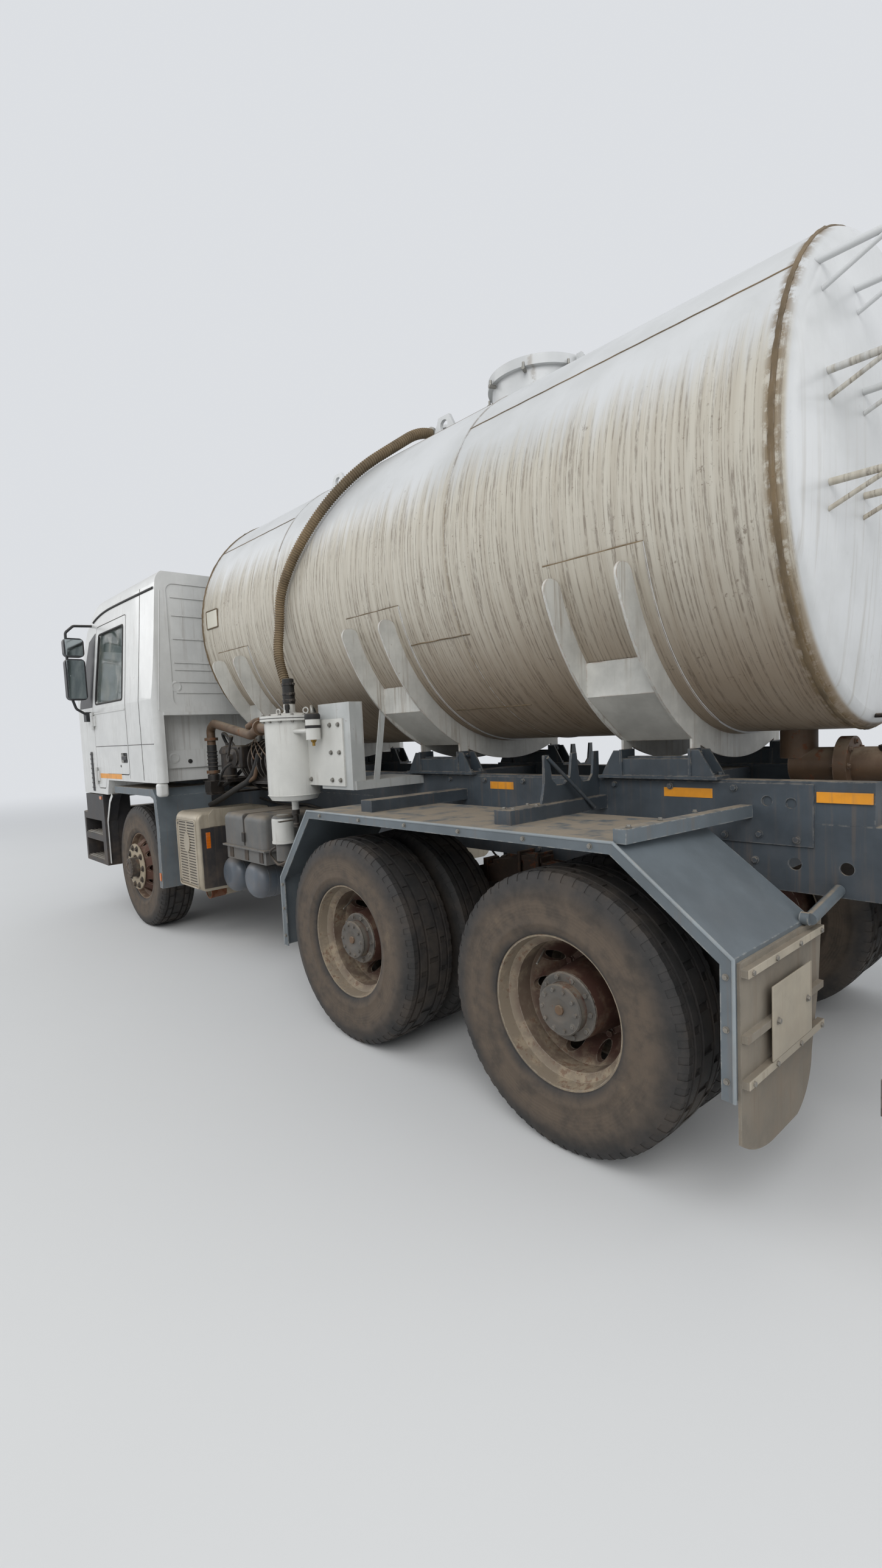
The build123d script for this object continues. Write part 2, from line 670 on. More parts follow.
# Manhole neck on the crown and its hinged lid
neck_bore = manhole_radius - manhole_wall
lid_axis_x = manhole_x - manhole_radius - 45
lid_axis_z = manhole_top + lid_thickness / 2
with BuildPart() as manhole_neck:
    rod((manhole_x, 0, crown_z - 60), (manhole_x, 0, manhole_top), manhole_radius)
    rod((manhole_x, 0, manhole_top - 16), (manhole_x, 0, manhole_top), manhole_radius + 24)
    block(lid_axis_x - 16, manhole_x - manhole_radius + 20, -70, 70, manhole_top - 40, manhole_top - 22)
    for side in (1, -1):
        block(lid_axis_x - 16, lid_axis_x + 16, side * 48, side * 70, manhole_top - 40, lid_axis_z + 14)
    rod((manhole_x, 0, crown_z - 70), (manhole_x, 0, manhole_top + 10), neck_bore, Mode.SUBTRACT)
    rod((lid_axis_x, -80, lid_axis_z), (lid_axis_x, 80, lid_axis_z), 8 + seat_gap, Mode.SUBTRACT)
    rod((tank_rear_x, 0, tank_z), (tank_front_x, 0, tank_z), tank_radius + seat_gap, Mode.SUBTRACT)
manhole_neck.part.label = "manhole_neck"
export_step(manhole_neck.part, "parts/manhole_neck.step")

with BuildPart() as manhole_lid:
    lid_low = manhole_top + seat_gap
    rod((manhole_x, 0, lid_low), (manhole_x, 0, lid_low + lid_thickness), manhole_radius + 22)
    block(lid_axis_x, manhole_x - 100, -36, 36, lid_low + 8, lid_low + lid_thickness)
    rod((lid_axis_x, -36, lid_axis_z), (lid_axis_x, 36, lid_axis_z), 16)
    rod((lid_axis_x, -70, lid_axis_z), (lid_axis_x, 70, lid_axis_z), 8)
manhole_lid.part.label = "manhole_lid"
export_step(manhole_lid.part, "parts/manhole_lid.step")

# Moisture trap beside the tank with its bracket
trap_x = -290
trap_y = 980
trap_radius = 160
trap_low = 1210
trap_top = 1750
trap_flange = 185
nozzle_radius = 36
nozzle_top = trap_top + 60
bracket_front_x = -570
bracket_rear_x = -890
bracket_low = 1290
bracket_top = 1790
bracket_y = 950
bracket_wall = 12
cup_x = -600
cup_y = 1012
cup_radius = 43
cup_low = 1585
cup_top = 1705
with BuildPart() as moisture_trap:
    with BuildSketch(Plane(origin=(trap_x, trap_y, 0), x_dir=(1, 0, 0), z_dir=(0, -1, 0))):
        with BuildLine():
            Polyline((0, trap_low - 60), (22, trap_low - 60), (22, trap_low - 8), (80, trap_low),
                     (trap_radius - 18, trap_low + 10), (trap_radius, trap_low + 40), (trap_radius, trap_top - 44),
                     (trap_flange, trap_top - 44), (trap_flange, trap_top - 12), (trap_radius - 10, trap_top - 12),
                     (trap_radius - 30, trap_top), (nozzle_radius, trap_top + 8), (nozzle_radius, nozzle_top),
                     (0, nozzle_top), close=True)
        make_face()
    revolve(axis=Axis((trap_x, trap_y, 0), (0, 0, 1)))
    block(-825, -440, bracket_y + seat_gap, bracket_y + 10, 1310, 1700)
    rod((cup_x, cup_y, cup_low), (cup_x, cup_y, cup_top), cup_radius)
    rod((cup_x, cup_y, 1640), (-425, 1040, 1640), 14)
moisture_trap.part.label = "moisture_trap"
export_step(moisture_trap.part, "parts/moisture_trap.step")

strut_x = saddle_xs[1] + saddle_half_spacing + saddle_wall / 2 + seat_gap
with BuildPart() as trap_bracket:
    block(bracket_rear_x, bracket_front_x, bracket_y - bracket_wall, bracket_y, bracket_low, bracket_top)
    for x in (bracket_rear_x, bracket_front_x - bracket_wall):
        block(x, x + bracket_wall, bracket_y - 90, bracket_y - bracket_wall, bracket_low, bracket_top)
    block(strut_x, bracket_front_x, rail_outer_y + fishplate_wall + seat_gap, bracket_y - bracket_wall,
          bracket_low, bracket_low + 50)
    with BuildSketch(Plane.YZ.offset(strut_x)):
        with BuildLine():
            Polyline((775, bracket_low + 40), (815, bracket_low + 40), (745, 1745), (705, 1745), close=True)
        make_face()
    extrude(amount=8)
trap_bracket.part.label = "trap_bracket"
export_step(trap_bracket.part, "parts/trap_bracket.step")

# Suction hose from the outlet on top, around the tank's side and down into the trap
hose_reach = hose_radius + 14
hose_angles = ((-815, 61), (-730, 48), (-610, 35), (-480, 22.5), (-340, 11), (-235, 1), (-195, -9))
hose_points = [Vector(outlet_x, elbow_out_y, elbow_z), Vector(outlet_x, elbow_out_y + 100, elbow_z)]
hose_points += [Vector(*on_tank(x, angle, hose_reach)) for x, angle in hose_angles]
hose_points += [Vector(-200, 990, 2130), Vector(-252, 984, 1975), Vector(trap_x, trap_y, nozzle_top + 75)]
hose_points += [Vector(trap_x, trap_y, nozzle_top)]
hose_turns = [
    radians((hose_points[i] - hose_points[i - 1]).get_angle(hose_points[i + 1] - hose_points[i]))
    for i in range(1, len(hose_points) - 1)
]
hose_bends = [
    0.45 * min((hose_points[i] - hose_points[i - 1]).length, (hose_points[i + 1] - hose_points[i]).length)
    / tan(hose_turns[i - 1] / 2)
    for i in range(1, len(hose_points) - 1)
]
print("hose bend radii", [round(bend) for bend in hose_bends])
with BuildPart() as suction_hose:
    with BuildLine() as hose_path:
        FilletPolyline(*hose_points, radius=hose_bends)
    with BuildSketch(Plane(origin=hose_path.line @ 0, z_dir=hose_path.line % 0)):
        Circle(hose_radius)
    sweep()
suction_hose.part.label = "suction_hose"
export_step(suction_hose.part, "parts/suction_hose.step")

# Cab: one outline from the side, one from the front and one from above, drawn in by
# each panel's own depth, give the shell, the doors and the glass
cab_side_points = (
    (cab_rear_x, arch_top_z), (cab_rear_x, roof_z - 15), (2700, roof_z), (3060, header_z),
    (3485, screen_base_z), (cab_front_x, 1640), (cab_front_x, cab_floor_z), (2600, cab_floor_z),
    (2540, arch_top_z),
)
cab_front_points = (
    (cab_half_width, 1000), (cab_half_width, waist_z), (roof_half_width, roof_z + 10),
    (-roof_half_width, roof_z + 10), (-cab_half_width, waist_z), (-cab_half_width, 1000),
)
cab_nose_round = 230
tunnel_half = 480
tunnel_top = rail_top + 60
tunnel_front_x = 3440
cab_roof_round = 130
recess_x = 1450
recess_half = 1165
recess_top = 1820
rear_panel = (1080, 1890, 2840)  # half width, lowest and highest of the pressed panel
rear_rib_zs = (2000, 2085, 2180, 2235, 2420, 2600, 2740)
rear_press = 8
rear_window_frame = 50
handle_low = (1985, 1452)  # x and z of the handle recess's corners
handle_high = (2150, 1538)
handle_depth = 24


def cab_form(inset):
    """The cab's closed outer form, with every wall drawn in by inset."""
    with BuildPart() as form:
        with BuildSketch(Plane.XZ):
            with BuildLine():
                Polyline(*cab_side_points, close=True)
            make_face()
            if inset:
                offset(amount=-inset, kind=Kind.INTERSECTION)
        extrude(amount=body_width, both=True)
        with BuildSketch(Plane.YZ.offset(cab_rear_x - 100)):
            with BuildLine():
                Polyline(*cab_front_points, close=True)
            make_face()
            fillet(vertices().group_by(Axis.Y)[-1], cab_roof_round)
            if inset:
                offset(amount=-inset)
        extrude(amount=cab_front_x - cab_rear_x + 200, mode=Mode.INTERSECT)
        with BuildSketch(Plane.XY.offset(cab_floor_z - 100)):
            with Locations(((cab_rear_x + cab_front_x) / 2, 0)):
                Rectangle(cab_front_x - cab_rear_x, 2 * cab_half_width)
            fillet(vertices().group_by(Axis.X)[-1], cab_nose_round)
            fillet(vertices().group_by(Axis.X)[0], 50)
            if inset:
                offset(amount=-inset)
        extrude(amount=roof_z - cab_floor_z + 200, mode=Mode.INTERSECT)
        block(cab_rear_x + 500, tunnel_front_x + inset, -tunnel_half - inset, tunnel_half + inset, cab_floor_z - 100,
              tunnel_top + inset, Mode.SUBTRACT)
        block(cab_rear_x - 10, recess_x + inset, -recess_half - inset, recess_half + inset, cab_floor_z - 100,
              recess_top + inset, Mode.SUBTRACT)
    return form.part


def side_prism(points, rounding, side, grow=0):
    """A prism through one side wall, from points seen from the side."""
    with BuildPart() as prism:
        with BuildSketch(Plane.XZ.offset(-side * cab_half_width)):
            with BuildLine():
                Polyline(*points, close=True)
            make_face()
            fillet(vertices(), rounding)
            if grow:
                offset(amount=grow, kind=Kind.INTERSECTION)
        extrude(amount=320, both=True)
    return prism.part


def front_prism(half_y, low_z, high_z, x, rounding, grow=0):
    """A prism through the front or rear wall, round a screen."""
    with BuildPart() as prism:
        with BuildSketch(Plane.YZ.offset(x)):
            with Locations((0, (low_z + high_z) / 2)):
                RectangleRounded(2 * half_y + 2 * grow, high_z - low_z + 2 * grow, rounding + grow)
        extrude(amount=300, both=True)
    return prism.part


door_points = (
    (door_rear_x, arch_top_z + cab_wall + 8), (door_rear_x, door_top_z), (2765, door_top_z),
    (door_front_x, 2080), (door_front_x, cab_floor_z + cab_wall + 8), (2640, cab_floor_z + cab_wall + 8),
    (2560, arch_top_z + cab_wall + 8),
)
window_points = ((2020, 1990), (2020, 2620), (2690, 2620), (2765, 2080), (2765, 1990))
door_round = 40
window_round = 55
screen_half = 1040
screen_low = screen_base_z + 70
screen_high = header_z - 60
rear_window = (420, 2150, 2520)
hinge_zs = (1330, 1840)
hinge_radius = 15
hinge_pin_radius = 7
hinge_length = 96
door_hinge_x = door_front_x - panel_gap / 2
door_hinge_y = cab_half_width + hinge_radius + 1

cab_outer = cab_form(0)
cab_inner = cab_form(cab_wall)
glass_outer = cab_form(glass_inset)
glass_inner = cab_form(glass_inset + glass_wall)

with BuildPart() as cab_shell:
    add(cab_outer)
    add(cab_inner, mode=Mode.SUBTRACT)
    for side in (1, -1):
        add(side_prism(door_points, door_round, side), mode=Mode.SUBTRACT)
    add(front_prism(screen_half, screen_low, screen_high, 3400, 90), mode=Mode.SUBTRACT)
    panel_half, panel_low, panel_high = rear_panel
    window_half, window_low, window_high = rear_window
    with BuildSketch(Plane.YZ.offset(cab_rear_x)):
        with Locations((0, (panel_low + panel_high) / 2)):
            RectangleRounded(2 * panel_half, panel_high - panel_low, 60)
        for z in rear_rib_zs:
            with Locations((0, z)):
                Rectangle(2 * panel_half - 60, 14, mode=Mode.SUBTRACT)
        with Locations((0, (window_low + window_high) / 2)):
            RectangleRounded(2 * (window_half + rear_window_frame), window_high - window_low + 2 * rear_window_frame,
                             80, mode=Mode.SUBTRACT)
    extrude(amount=rear_press, mode=Mode.SUBTRACT)
    add(front_prism(*rear_window, cab_rear_x - 150, 60), mode=Mode.SUBTRACT)
    block(cab_rear_x - 14, cab_rear_x + 10, -recess_half, recess_half, recess_top + 2, recess_top + 26)
    for side in (1, -1):
        block(recess_x - 20, recess_x + 10, side * 620, side * (recess_half - 15), 1400, 1545)
    block(cab_front_x - 30, cab_front_x, -(cab_half_width - cab_nose_round), cab_half_width - cab_nose_round,
          cab_pivot_z + 10, cab_floor_z)
    for side in (1, -1):
        for z in hinge_zs:
            for end in (-1, 1):
                rod((door_hinge_x, side * door_hinge_y, z + end * hinge_length / 2),
                    (door_hinge_x, side * door_hinge_y, z + end * (hinge_length / 2 + 30)), hinge_radius)
                block(door_hinge_x, door_hinge_x + 60, side * (cab_half_width - 4),
                      side * (cab_half_width + 10), z + end * hinge_length / 2, z + end * (hinge_length / 2 + 30))
            rod((door_hinge_x, side * door_hinge_y, z - hinge_length / 2 - 30),
                (door_hinge_x, side * door_hinge_y, z + hinge_length / 2 + 30), hinge_pin_radius)
        block(cab_pivot_x - 40, cab_pivot_x + 40, side * 520, side * 560, cab_pivot_z, cab_floor_z + 10)
        rod((cab_pivot_x, side * 520, cab_pivot_z), (cab_pivot_x, side * 560, cab_pivot_z), 40)
        rod((cab_pivot_x, side * 500, cab_pivot_z), (cab_pivot_x, side * 580, cab_pivot_z),
            pivot_pin_radius + seat_gap, Mode.SUBTRACT)
cab_shell.part.label = "cab_shell"
export_step(cab_shell.part, "parts/cab_shell.step")

with BuildPart() as cab_glass:
    add(glass_outer)
    add(glass_inner, mode=Mode.SUBTRACT)
    add([
        front_prism(screen_half, screen_low, screen_high, 3400, 90, -seat_gap),
        front_prism(*rear_window, cab_rear_x - 150, 60, -seat_gap),
    ], mode=Mode.INTERSECT)
cab_glass.part.label = "cab_glass"
export_step(cab_glass.part, "parts/cab_glass.step")

for side, name in ((1, "left_door"), (-1, "right_door")):
    with BuildPart() as door:
        add(cab_outer)
        add(cab_inner, mode=Mode.SUBTRACT)
        add(side_prism(door_points, door_round, side, -panel_gap), mode=Mode.INTERSECT)
        add(side_prism(window_points, window_round, side), mode=Mode.SUBTRACT)
        with BuildSketch(Plane.XZ.offset(-side * cab_half_width)):
            with Locations(((handle_low[0] + handle_high[0]) / 2, (handle_low[1] + handle_high[1]) / 2)):
                RectangleRounded(handle_high[0] - handle_low[0], handle_high[1] - handle_low[1], 16)
                Rectangle(handle_high[0] - handle_low[0] - 60, 26, mode=Mode.SUBTRACT)
        extrude(amount=side * handle_depth, mode=Mode.SUBTRACT)
        for z in hinge_zs:
            low = z - hinge_length / 2 + 1
            high = z + hinge_length / 2 - 1
            rod((door_hinge_x, side * door_hinge_y, low), (door_hinge_x, side * door_hinge_y, high), hinge_radius)
            block(door_hinge_x - 60, door_hinge_x, side * (cab_half_width - 4), side * (cab_half_width + 10), low, high)
            rod((door_hinge_x, side * door_hinge_y, low - 2), (door_hinge_x, side * door_hinge_y, high + 2),
                hinge_pin_radius + seat_gap, Mode.SUBTRACT)
    door.part.label = name
    export_step(door.part, f"parts/{name}.step")
    with BuildPart() as pane:
        add(glass_outer)
        add(glass_inner, mode=Mode.SUBTRACT)
        add(side_prism(window_points, window_round, side, -seat_gap), mode=Mode.INTERSECT)
    pane.part.label = f"{name}_glass"
    export_step(pane.part, f"parts/{name}_glass.step")

# Sun visor over the windscreen, and the mirrors on their bent arms
with BuildPart() as sun_visor:
    with BuildSketch(Plane.XZ):
        with BuildLine():
            Polyline((3075, header_z + 62), (3085, header_z + 78), (3290, header_z + 8), (3285, header_z - 6),
                     close=True)
        make_face()
    extrude(amount=1060, both=True)
    for y in (-700, 0, 700):
        block(3100, 3135, y - 12, y + 12, header_z - 90, header_z + 66)
    add(cab_outer, mode=Mode.SUBTRACT)
sun_visor.part.label = "sun_visor"
export_step(sun_visor.part, "parts/sun_visor.step")

mirror_x = 2925
mirror_y = 1345
mirror_half_width = 86
mirror_half_depth = 34
mirror_table = ((2040, 2420), (2436, 2610))  # lowest and highest of each housing
mirror_arm = ((1140, 2735), (1330, 2725), (1400, 2660), (1408, 2120), (1360, 1960), (1250, 1890))  # y, z
with BuildPart() as mirrors:
    for side in (1, -1):
        for low_z, high_z in mirror_table:
            with BuildSketch(Plane.YZ.offset(mirror_x - mirror_half_depth)):
                with Locations((side * mirror_y, (low_z + high_z) / 2)):
                    RectangleRounded(2 * mirror_half_width, high_z - low_z, 40)
            extrude(amount=2 * mirror_half_depth)
        with BuildLine() as arm_path:
            FilletPolyline(*[(mirror_x, side * y, z) for y, z in mirror_arm], radius=40)
        with BuildSketch(Plane(origin=arm_path.line @ 0, z_dir=arm_path.line % 0)):
            Circle(12)
        sweep()
        block(mirror_x - 12, mirror_x + 68, side * 1215, side * 1285, 1840, 1930)
    add(cab_outer, mode=Mode.SUBTRACT)
mirrors.part.label = "mirrors"
export_step(mirrors.part, "parts/mirrors.step")

# Inside the cab
seat_floor = arch_top_z + cab_wall
with BuildPart() as seats:
    for side in (1, -1):
        block(2120, 2600, side * 340, side * 840, seat_floor + 60, seat_floor + 480)
        with BuildSketch(Plane.XZ.offset(-side * 590)):
            with BuildLine():
                Polyline((2120, seat_floor + 440), (2040, seat_floor + 1120), (2150, seat_floor + 1120),
                         (2260, seat_floor + 470), close=True)
            make_face()
        extrude(amount=240, both=True)
        block(2200, 2520, side * 420, side * 760, seat_floor + seat_gap, seat_floor + 60)
seats.part.label = "seats"
export_step(seats.part, "parts/seats.step")

bunk_front_x = 2000
bunk_half = 1150
bunk_base_top = recess_top + cab_wall
bunk_top = 1990
with BuildPart() as sleeper_bunk:
    block(recess_x + cab_wall + 5, bunk_front_x, -bunk_half, bunk_half, seat_floor + seat_gap, bunk_base_top)
    block(cab_rear_x + cab_wall + 5, bunk_front_x, -bunk_half, bunk_half, bunk_base_top + seat_gap, bunk_top)
sleeper_bunk.part.label = "sleeper_bunk"
export_step(sleeper_bunk.part, "parts/sleeper_bunk.step")

steering_y = 590
with BuildPart() as dashboard:
    with BuildSketch(Plane.XZ):
        with BuildLine():
            Polyline((3030, tunnel_top + cab_wall + seat_gap), (2960, 1780), (3040, 1900), (3380, 1880),
                     (3380, tunnel_top + cab_wall + seat_gap), close=True)
        make_face()
    extrude(amount=1080, both=True)
    column_low = Vector(3000, steering_y, 1640)
    column_high = Vector(2800, steering_y, 1930)
    rod(column_low, column_high, 32)
    with Locations(Plane(origin=column_high, z_dir=(column_high - column_low).normalized()).location):
        Torus(215, 14)
        Box(420, 36, 14)
        Cylinder(55, 30)
dashboard.part.label = "dashboard"
export_step(dashboard.part, "parts/dashboard.step")

# Engine and gearbox as plain blocks, and the shafts behind them
engine_half = 330
gearbox_rear_x = 820
gearbox_z = 745
with BuildPart() as engine_block:
    block(1620, 2620, -engine_half, engine_half, 640, 1180)
    block(1250, 1620, -260, 260, 560, 1080)
    rod((gearbox_rear_x, 0, gearbox_z), (1250, 0, gearbox_z), 175)
    for side in (1, -1):
        block(2350, 2450, side * engine_half, side * (rail_outer_y - rail_wall), rail_bottom + 60, rail_bottom + 110)
        block(1440, 1540, side * 260, side * (rail_outer_y - rail_wall), rail_bottom + 60, rail_bottom + 110)
engine_block.part.label = "engine_block"
export_step(engine_block.part, "parts/engine_block.step")

shaft_radius = 55
yoke_radius = 80
yoke_length = 90
shaft_runs = (
    # front face x and z, rear face x and z
    (gearbox_rear_x, gearbox_z, drive_axle_x + housing_radius + 110, axle_z),
    (drive_axle_x - housing_radius, axle_z, rear_axle_x + housing_radius + 110, axle_z),
)
with BuildPart() as drive_shafts:
    for front_x, front_z, rear_x, rear_z in shaft_runs:
        rod((front_x - seat_gap, 0, front_z), (front_x - yoke_length, 0, front_z), yoke_radius)
        rod((rear_x + seat_gap, 0, rear_z), (rear_x + yoke_length, 0, rear_z), yoke_radius)
        rod((front_x - yoke_length / 2, 0, front_z), (rear_x + yoke_length / 2, 0, rear_z), shaft_radius)
drive_shafts.part.label = "drive_shafts"
export_step(drive_shafts.part, "parts/drive_shafts.step")

# Rear fenders: sheet over both axles with a turned-down outer edge, and the arms that carry the rear end
fender_wall = 6
fender_lip = 40
fender_points = ((-540, 400), (-540, 800), (-870, fender_top_z), (-2790, fender_top_z), (-3190, 895), (-3190, 458))
low_arm_x = -3215


def arch_band(points, depth):
    """A band of even depth inside an arch that is seen from the side."""
    with BuildSketch() as band:
        with BuildLine():
            Polyline(*points)
            offset(amount=-depth, side=Side.LEFT, closed=True)
        make_face()
    return band.sketch


for side, name in ((1, "left_fender"), (-1, "right_fender")):
    with BuildPart() as fender:
        with BuildSketch(Plane.XZ.offset(-side * (fender_in_y + fender_out_y) / 2)):
            add(arch_band(fender_points, fender_wall))
        extrude(amount=(fender_out_y - fender_in_y) / 2, both=True)
        with BuildSketch(Plane.XZ.offset(-side * (fender_out_y - fender_wall / 2))):
            add(arch_band(fender_points, fender_lip))
        extrude(amount=fender_wall / 2, both=True)
        for x, y in ((-2812, fender_out_y - 10), (-2880, rail_outer_y + fishplate_wall + seat_gap)):
            with BuildSketch(Plane(origin=(x, side * y, fender_top_z + 22), x_dir=(1, 0, 0), z_dir=(0, -side, 0))):
                Rectangle(50, 50)
        loft()
        rod((low_arm_x, side * (rail_outer_y + 4), 950), (low_arm_x, side * 720, 905), 22)
        rod((low_arm_x, side * 720, 905), (fender_points[-2][0] + 4, side * 720, 905), 22)
    fender.part.label = name
    export_step(fender.part, f"parts/{name}.step")

flap_wall = 10
flap_x = fender_points[-1][0]
flap_bars = (510, 650, 850)
with BuildPart() as mud_flaps:
    for side in (1, -1):
        with BuildSketch(Plane.YZ.offset(flap_x - flap_wall)):
            with BuildLine():
                Polyline((side * 570, 880), (side * 600, 640), (side * 665, 420))
                ThreePointArc((side * 665, 420), (side * 720, 290), (side * 800, 240))
                Line((side * 800, 240), (side * 1000, 240))
                ThreePointArc((side * 1000, 240), (side * 1110, 260), (side * 1225, 320))
                Polyline((side * 1225, 320), (side * 1225, 880), (side * 570, 880))
            make_face()
        extrude(amount=flap_wall)
        for z in flap_bars:
            block(flap_x - flap_wall - 20, flap_x - flap_wall, side * 610, side * 1220, z - 12, z + 12)
mud_flaps.part.label = "mud_flaps"
export_step(mud_flaps.part, "parts/mud_flaps.step")


# Front mudguards behind and over the steered wheels
guard_in_y = 760
guard_out_y = 1215
guard_top = 1240
guard_lip = 60
guard_points = ((2480, guard_top), (1530, guard_top), (1465, 1180), (1440, 900), (1460, 440))
with BuildPart() as front_mudguards:
    for side in (1, -1):
        with BuildSketch(Plane.XZ.offset(-side * (guard_in_y + guard_out_y) / 2)):
            add(arch_band(guard_points, fender_wall))
        extrude(amount=(guard_out_y - guard_in_y) / 2, both=True)
        with BuildSketch(Plane.XZ.offset(-side * (guard_out_y - fender_wall / 2))):
            add(arch_band(guard_points, guard_lip))
        extrude(amount=fender_wall / 2, both=True)
        for x in (1820, 2380):
            block(x, x + 50, side * rail_outer_y, side * (guard_in_y + 60), rail_top - 60, guard_top - fender_wall)
front_mudguards.part.label = "front_mudguards"
export_step(front_mudguards.part, "parts/front_mudguards.step")

# Silencer on the left, behind a cover with rows of slots
silencer_rear_x = 860
silencer_front_x = 1262
silencer_low = 478
silencer_high = 1075
silencer_in_y = 560
silencer_out_y = 1150
slot_rows = 24
slot_pitch = 21
slot_height = 9
slot_columns = ((985, 130), (1137, 130))  # middle x and width of the slots in each column
with BuildPart() as silencer_box:
    block(silencer_rear_x, silencer_front_x, silencer_in_y, silencer_out_y, silencer_low, silencer_high)
    fillet(edges().filter_by(Axis.X).group_by(Axis.Y)[-1], 60)
    fillet(edges().filter_by(Axis.Y), 25)
    with BuildSketch(Plane.XZ.offset(-silencer_out_y)):
        for x, width in slot_columns:
            for row in range(slot_rows):
                row_z = (silencer_low + silencer_high - (slot_rows - 1) * slot_pitch) / 2 + row * slot_pitch
                with Locations((x, row_z)):
                    Rectangle(width, slot_height)
    extrude(amount=6, mode=Mode.SUBTRACT)
    for x in (930, 1150):
        block(x, x + 40, rail_outer_y, silencer_in_y + 20, rail_bottom + 10, rail_bottom + 70)
    rod((1100, 620, 445), (1100, 985, 430), 58)
    rod((1100, 960, 431), (1100, 996, 429.5), 50, Mode.SUBTRACT)
silencer_box.part.label = "silencer_box"
export_step(silencer_box.part, "parts/silencer_box.step")

# Battery tray with its rounded cover, and the air dryer behind it
battery_rear_x = 40
battery_front_x = 640
battery_out_y = 1040
tray_low = 760
cover_low = 850
cover_high = 1090
dryer_x = -135
dryer_y = 990
dryer_radius = 70
with BuildPart() as battery_box:
    block(battery_rear_x, battery_front_x, 520, battery_out_y, cover_low, cover_high)
    fillet(edges().filter_by(Axis.Z), 35)
    fillet(faces().sort_by(Axis.Z)[-1].edges(), 45)
    block(battery_rear_x + 12, battery_front_x - 12, 532, battery_out_y - 12, tray_low, cover_low)
    block(battery_rear_x - 12, battery_front_x + 12, 508, battery_out_y + 12, cover_low, cover_low + 12)
    for x in (100, 500):
        block(x, x + 40, rail_outer_y, 540, rail_bottom + 20, rail_bottom + 80)
    rod((dryer_x, dryer_y, 930), (dryer_x, dryer_y, 1110), dryer_radius)
    fillet(edges().filter_by(GeomType.CIRCLE).sort_by(Axis.Z)[-1], 30)
    rod((dryer_x, dryer_y, 815), (dryer_x, dryer_y, 930), 52)
    block(dryer_x - 45, dryer_x + 45, rail_outer_y, dryer_y, rail_bottom, rail_bottom + 12)
    block(dryer_x - 45, dryer_x - 33, rail_outer_y, dryer_y, rail_bottom - 60, rail_bottom)
battery_box.part.label = "battery_box"
export_step(battery_box.part, "parts/battery_box.step")

reservoir_radius = 136
reservoir_table = ((700, 615, 380, 1005), (350, 615, 380, 1005))  # x, z, inner y, outer y
with BuildPart() as air_reservoirs:
    for x, z, in_y, out_y in reservoir_table:
        rod((x, in_y, z), (x, out_y, z), reservoir_radius)
    fillet(edges().filter_by(GeomType.CIRCLE), 75)
    for x, z, in_y, out_y in reservoir_table:
        block(x - 20, x + 20, rail_outer_y - 60, rail_outer_y - 20, z + 100, rail_bottom)
air_reservoirs.part.label = "air_reservoirs"
export_step(air_reservoirs.part, "parts/air_reservoirs.step")

# Fuel tank on the right
with BuildPart() as fuel_tank:
    block(120, 1260, -1190, -560, 480, 1060)
    fillet(edges().filter_by(Axis.X), 90)
    for x in (260, 1060):
        block(x, x + 50, -640, -rail_outer_y, rail_bottom + 10, rail_bottom + 70)
fuel_tank.part.label = "fuel_tank"
export_step(fuel_tank.part, "parts/fuel_tank.step")

# Vacuum pump on the subframe's left side, its pipes to the trap
pump_x = 420
pump_y = 700
pump_z = 1440
pump_radius = 138
fin_count = 7
fin_pitch = 66
fin_radius = 165
pulley_radius = 128
tower_x = 1190  # the air filter's standing pipe, by the cab's rear wall
tower_y = 850
with BuildPart() as vacuum_pump:
    rod((pump_x - 250, pump_y, pump_z), (pump_x + 250, pump_y, pump_z), pump_radius)
    for number in range(fin_count):
        fin_x = pump_x + (number - (fin_count - 1) / 2) * fin_pitch
        rod((fin_x - 7, pump_y, pump_z), (fin_x + 7, pump_y, pump_z), fin_radius)
    rod((pump_x + 250, pump_y, pump_z), (pump_x + 262, pump_y, pump_z), pump_radius + 18)
    rod((pump_x + 262, pump_y, pump_z), (pump_x + 300, pump_y, pump_z), 60)
    rod((pump_x + 300, pump_y, pump_z), (pump_x + 350, pump_y, pump_z), pulley_radius)
    rod((pump_x - 300, pump_y, pump_z), (pump_x + 362, pump_y, pump_z), 34)
    block(pump_x - 90, pump_x + 30, pump_y - 60, pump_y + 60, pump_z + 90, pump_z + 190)
    block(pump_x - 200, pump_x + 200, rail_outer_y + seat_gap, pump_y + 120, subframe_top - 70, subframe_top - 50)
    block(pump_x - 180, pump_x + 180, pump_y - 110, pump_y + 110, subframe_top - 50, pump_z - 80)
    block(tower_x - 65, tower_x + 45, tower_y - 55, tower_y + 55, 1195, 1290)
    rod((tower_x - 10, tower_y, 1290), (tower_x - 10, tower_y, 1340), 46)
    block(tower_x - 60, tower_x + 40, rail_outer_y + seat_gap, tower_y + 50, 1180, 1195)
vacuum_pump.part.label = "vacuum_pump"
export_step(vacuum_pump.part, "parts/vacuum_pump.step")

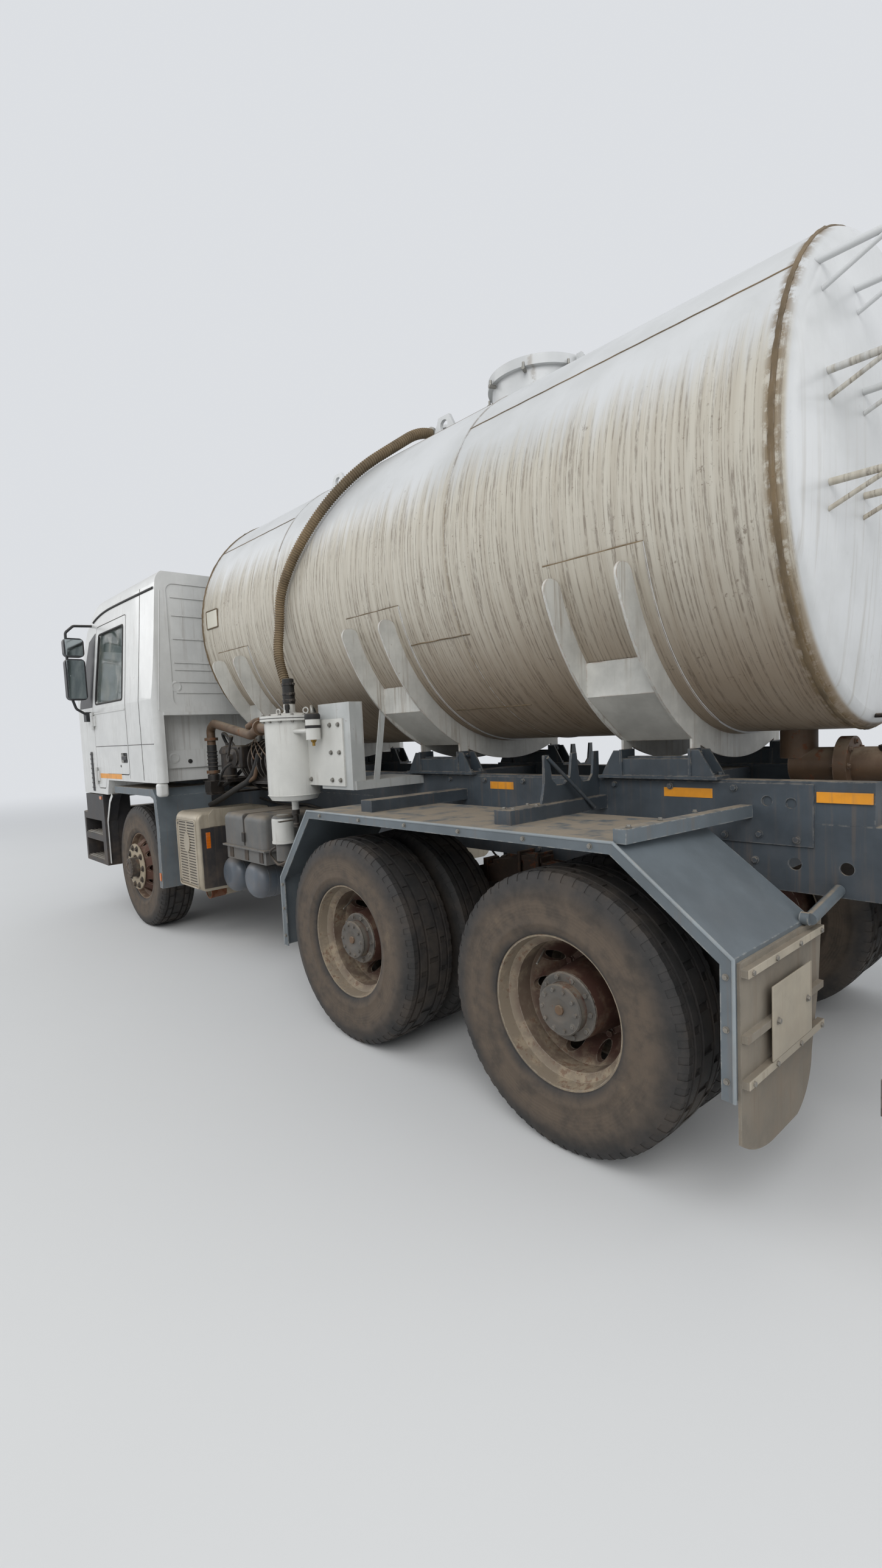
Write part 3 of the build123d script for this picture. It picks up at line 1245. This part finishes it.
pipe_radius = 33
trap_port_z = 1668
vacuum_pipe_points = (
    (trap_x + trap_radius - 4, trap_y, trap_port_z), (20, 975, trap_port_z), (182, 950, 1680), (401, 900, 1633),
    (1080, 862, 1740), (tower_x - 10, tower_y, 1700), (tower_x - 10, tower_y, 1340 + seat_gap),
)
delivery_points = (
    (pump_x - 30, pump_y, pump_z + 190 + seat_gap), (pump_x - 30, pump_y, 1720), (pump_x - 30, 850, 1735),
    (pump_x + 60, 880, 1690),
)
hose_line_points = ((1280, 850, 1090), (1150, 850, 1120), (800, 850, 1235), (480, 850, 1330), (400, 850, 1500))
with BuildPart() as pump_pipes:
    for points, bend, radius in (
        (vacuum_pipe_points, 50, pipe_radius), (delivery_points, 40, 26), (hose_line_points, 60, 15),
    ):
        with BuildLine() as pipe_path:
            FilletPolyline(*points, radius=bend)
        with BuildSketch(Plane(origin=pipe_path.line @ 0, z_dir=pipe_path.line % 0)):
            Circle(radius)
        sweep()
    rod((trap_x, trap_y, trap_low), (trap_x, trap_y, trap_top), trap_radius + seat_gap, Mode.SUBTRACT)
    add(vacuum_pump.part, mode=Mode.SUBTRACT)
pump_pipes.part.label = "pump_pipes"
export_step(pump_pipes.part, "parts/pump_pipes.step")

# Outlet pipe and valve under the tank's rear
valve_x = -2920
with BuildPart() as outlet_valve:
    rod((valve_x, 0, tank_z - tank_radius - 120), (valve_x, 0, tank_z - tank_radius + 60), 75)
    rod((valve_x + 20, 0, tank_z - tank_radius - 150), (tail_x + 60, 0, tank_z - tank_radius - 150), 75)
    rod((tail_x + 110, 0, tank_z - tank_radius - 150), (tail_x + 60, 0, tank_z - tank_radius - 150), 110)
    rod((valve_x - 220, 0, tank_z - tank_radius - 150), (valve_x - 170, 0, tank_z - tank_radius - 150), 120)
    add(tank_body(seat_gap), mode=Mode.SUBTRACT)
outlet_valve.part.label = "outlet_valve"
export_step(outlet_valve.part, "parts/outlet_valve.step")

# Bumper with the entry steps behind its ends and the lips of the front arches, cab pivot ears, lamps
bumper_back_x = 3440
step_rear_x = 2765
arch_lip_points = ((step_rear_x, 500), (step_rear_x, 900), (2650, 1100), (2570, 1165))
arch_lip_in_y = 1130
step_table = ((520, 700), (760, 900))  # lowest and highest of each step's opening
with BuildPart() as front_bumper:
    with BuildSketch(Plane.XY.offset(bumper_bottom)):
        with Locations(((step_rear_x + nose_x) / 2, 0)):
            Rectangle(nose_x - step_rear_x, 2 * (half_width - 10))
        fillet(vertices().group_by(Axis.X)[-1], 200)
        with Locations(((step_rear_x + bumper_back_x) / 2 - 50, 0)):
            Rectangle(bumper_back_x - step_rear_x + 100, 2 * 880, mode=Mode.SUBTRACT)
    extrude(amount=bumper_top - bumper_bottom)
    for side in (1, -1):
        with BuildSketch(Plane.XZ.offset(-side * (arch_lip_in_y + guard_out_y) / 2)):
            add(arch_band(arch_lip_points, fender_wall))
        extrude(amount=(guard_out_y - arch_lip_in_y) / 2, both=True)
        for low, high in step_table:
            block(step_rear_x + 95, bumper_back_x - 60, side * 1000, side * (half_width + 10), low, high,
                  Mode.SUBTRACT)
        block(rail_front_x - 200, bumper_back_x, side * 355, side * rail_outer_y, 760, rail_bottom)
        block(bumper_back_x - 40, cab_pivot_x + 30, side * 440, side * 515, bumper_top - 60, cab_pivot_z)
        rod((cab_pivot_x, side * 440, cab_pivot_z), (cab_pivot_x, side * 515, cab_pivot_z), 36)
        rod((cab_pivot_x, side * 440, cab_pivot_z), (cab_pivot_x, side * 575, cab_pivot_z), pivot_pin_radius)
        block(nose_x - 60 - seat_gap, nose_x + 1, side * (640 - seat_gap), side * (940 + seat_gap), 620 - seat_gap,
              800 + seat_gap, Mode.SUBTRACT)
        block(step_rear_x, 3300, side * 1000, side * (half_width - 10), bumper_top, cab_floor_z - 10)
front_bumper.part.label = "front_bumper"
export_step(front_bumper.part, "parts/front_bumper.step")

# Rear underrun bar and tail lamps
with BuildPart() as rear_bar:
    block(tail_x, tail_x + 60, -1150, 1150, 520, 620)
    for side in (1, -1):
        block(tail_x + 60, tail_x + 220, side * rail_outer_y, side * (rail_outer_y + 14), 520, rail_bottom + 150)
rear_bar.part.label = "rear_bar"
export_step(rear_bar.part, "parts/rear_bar.step")

with BuildPart() as lamps:
    for side in (1, -1):
        block(tail_x + 20, tail_x + 60, side * 820, side * 1120, 620, 740)
        block(nose_x - 60, nose_x - 4, side * 640, side * 940, 620, 800)
lamps.part.label = "lamps"
export_step(lamps.part, "parts/lamps.step")
